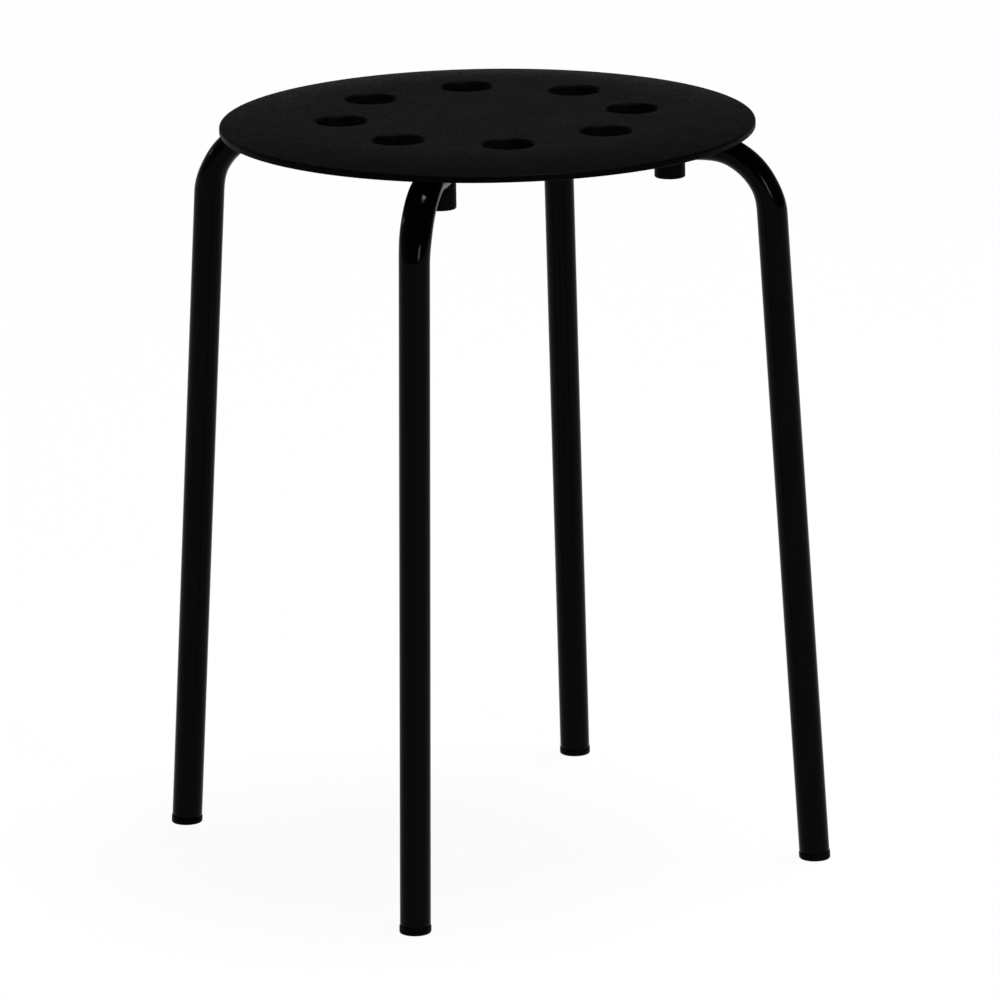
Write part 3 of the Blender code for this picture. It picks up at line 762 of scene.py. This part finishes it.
def brass():
    """Turned brass, a little dull, with fine marks round it."""
    surface = Surface("brass")
    surface.shader.inputs["Metallic"].default_value = 1
    cloud = surface.noise(600, detail=3)
    surface.feed("Base Color", surface.mixed(cloud, (0.66, 0.46, 0.20), (0.78, 0.58, 0.28)))
    surface.feed("Roughness", surface.spread(cloud, 0.28, 0.42))
    surface.bump(surface.noise(400, detail=1, stretch=(1, 1, 12)), 0.02 * MM)
    return surface.material


# Studio: a white floor, a dim world around it, and lamps as (name, azimuth and elevation in degrees
# as seen from the stool, width and height in metres, brightness of the lamp's face)
FLOOR_RADIUS = 60.0
FLOOR_FACETS = 96
FLOOR_PAINT = grey(0.92)
FLOOR_WHITE_SHARE = 0.95
WORLD_LEVELS_BY_SINE = ((0.0, 0.22), (0.2, 0.22), (0.6, 0.04), (1.0, 0.04))
WORLD_BRIGHT_SIDE = math.radians(254)
WORLD_DARK_SHARE = 0.05
WORLD_BRIGHT_SHARE = 1.95
LAMP_DISTANCE = 6.0
LAMP_WATTS_PER_SQUARE_METRE = 4
LAMPS = (
    ("overhead_box", 126, 80, 2.1, 1.5, 31),
    ("front_right_box", 44, 12, 0.8, 1.7, 20),
    ("left_box", -104, 15, 0.35, 0.35, 12),
)


def from_azimuth(azimuth, elevation=0.0):
    """A direction from the stool, with azimuth 0 in front of it."""
    level = math.cos(elevation)
    return Vector((math.sin(azimuth) * level, -math.cos(azimuth) * level, math.sin(elevation)))


def make_camera():
    """The photograph's own viewpoint."""
    toward = Matrix.Rotation(CAMERA_AZIMUTH, 3, "Z")
    right = toward @ Vector((1, 0, 0))
    back = toward @ Vector((0, -math.cos(CAMERA_ELEVATION), math.sin(CAMERA_ELEVATION)))
    up = back.cross(right)
    turned_right = math.cos(CAMERA_ROLL) * right + math.sin(CAMERA_ROLL) * up
    turned_up = math.cos(CAMERA_ROLL) * up - math.sin(CAMERA_ROLL) * right
    place = right * CAMERA_TARGET_ASIDE + Vector((0, 0, CAMERA_TARGET_HEIGHT)) + back * CAMERA_DISTANCE
    lens = bpy.data.cameras.new("camera")
    lens.sensor_width = SENSOR_WIDTH
    lens.lens = FOCAL_PIXELS * SENSOR_WIDTH / IMAGE_WIDTH
    lens.clip_end = CAMERA_REACH
    camera = add_object("camera", lens)
    turn = Matrix((turned_right, turned_up, back)).transposed().to_4x4()
    camera.matrix_world = Matrix.Translation(place) @ turn
    bpy.context.scene.camera = camera


def larger(tree, first, second):
    """The larger of two values in a node tree."""
    node = tree.nodes.new("ShaderNodeMath")
    node.operation = "MAXIMUM"
    tree.links.new(first, node.inputs[0])
    tree.links.new(second, node.inputs[1])
    return node.outputs["Value"]


def mixed_shader(tree, share, first, second):
    node = tree.nodes.new("ShaderNodeMixShader")
    tree.links.new(share, node.inputs["Fac"])
    tree.links.new(first, node.inputs[1])
    tree.links.new(second, node.inputs[2])
    return node.outputs["Shader"]


def floor_material():
    """White to the camera and in reflections, with a share of its real shading, and unseen from below."""
    material = bpy.data.materials.new("floor")
    material.use_nodes = True
    tree = material.node_tree
    tree.nodes.clear()
    paint = tree.nodes.new("ShaderNodeBsdfDiffuse")
    paint.inputs["Color"].default_value = (*FLOOR_PAINT, 1)
    white = tree.nodes.new("ShaderNodeEmission")
    path = tree.nodes.new("ShaderNodeLightPath").outputs
    seen = larger(tree, path["Is Camera Ray"], path["Is Glossy Ray"])
    share = tree.nodes.new("ShaderNodeMath")
    share.operation = "MULTIPLY"
    share.inputs[1].default_value = FLOOR_WHITE_SHARE
    tree.links.new(larger(tree, seen, path["Is Transmission Ray"]), share.inputs[0])
    top = mixed_shader(tree, share.outputs["Value"], paint.outputs["BSDF"], white.outputs["Emission"])
    clear = tree.nodes.new("ShaderNodeBsdfTransparent")
    from_below = tree.nodes.new("ShaderNodeNewGeometry").outputs["Backfacing"]
    whole = mixed_shader(tree, from_below, top, clear.outputs["BSDF"])
    output = tree.nodes.new("ShaderNodeOutputMaterial")
    tree.links.new(whole, output.inputs["Surface"])
    return material


def make_floor():
    bm = bmesh.new()
    bmesh.ops.create_circle(bm, cap_ends=True, segments=FLOOR_FACETS, radius=FLOOR_RADIUS)
    mesh = bpy.data.meshes.new("floor")
    bm.to_mesh(mesh)
    bm.free()
    floor = add_object("floor", mesh)
    mesh.materials.append(floor_material())


def make_world():
    """A dim studio that is brighter low down and on one side."""
    world = bpy.data.worlds.new("studio")
    bpy.context.scene.world = world
    world.use_nodes = True
    tree = world.node_tree
    place = tree.nodes.new("ShaderNodeTexCoord").outputs["Generated"]
    parts = tree.nodes.new("ShaderNodeSeparateXYZ")
    tree.links.new(place, parts.inputs["Vector"])
    height = tree.nodes.new("ShaderNodeMapRange")
    height.inputs["From Min"].default_value = -1
    tree.links.new(parts.outputs["Z"], height.inputs["Value"])
    ramp = tree.nodes.new("ShaderNodeValToRGB")
    stops = ramp.color_ramp.elements
    while len(stops) < len(WORLD_LEVELS_BY_SINE):
        stops.new(0.5)
    for stop, (sine, level) in zip(stops, WORLD_LEVELS_BY_SINE):
        stop.position = (sine + 1) / 2
        stop.color = (*grey(level), 1)
    tree.links.new(height.outputs["Result"], ramp.inputs["Fac"])
    toward = tree.nodes.new("ShaderNodeVectorMath")
    toward.operation = "DOT_PRODUCT"
    toward.inputs[1].default_value = from_azimuth(WORLD_BRIGHT_SIDE)
    tree.links.new(place, toward.inputs[0])
    side = tree.nodes.new("ShaderNodeMapRange")
    side.inputs["From Min"].default_value = -1
    side.inputs["To Min"].default_value = WORLD_DARK_SHARE
    side.inputs["To Max"].default_value = WORLD_BRIGHT_SHARE
    tree.links.new(toward.outputs["Value"], side.inputs["Value"])
    background = tree.nodes["Background"]
    tree.links.new(ramp.outputs["Color"], background.inputs["Color"])
    tree.links.new(side.outputs["Result"], background.inputs["Strength"])


def soft_box(name, azimuth, elevation, width, height, brightness):
    """A rectangular lamp that faces the seat, unseen by the camera."""
    light = bpy.data.lights.new(name, "AREA")
    light.shape = "RECTANGLE"
    light.size = width
    light.size_y = height
    light.energy = LAMP_WATTS_PER_SQUARE_METRE * width * height * brightness
    lamp = add_object(name, light)
    lamp.visible_camera = False
    away = from_azimuth(math.radians(azimuth), math.radians(elevation))
    facing = away.to_track_quat("Z", "Y").to_matrix().to_4x4()
    lamp.matrix_world = Matrix.Translation(Vector((0, 0, UNDERSIDE)) + away * LAMP_DISTANCE) @ facing


def main():
    bpy.context.scene.view_settings.view_transform = "Standard"
    make_camera()
    make_world()
    make_floor()
    for lamp in LAMPS:
        soft_box(*lamp)
    plastic = black_plastic()
    zinc = zinc_plate()
    make_seat(seat_plastic())
    coat = powder_coat()
    make_frame("leg_frame_lower", -1, 0.0, coat)
    make_frame("leg_frame_upper", 1, QUARTER_TURN, coat)
    make_end_pieces(plastic, zinc)
    metal = brass()
    for leg in LEG_NAMES:
        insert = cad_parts["threaded_insert_" + leg]
        insert.data.materials.clear()
        insert.data.materials.append(metal)


main()
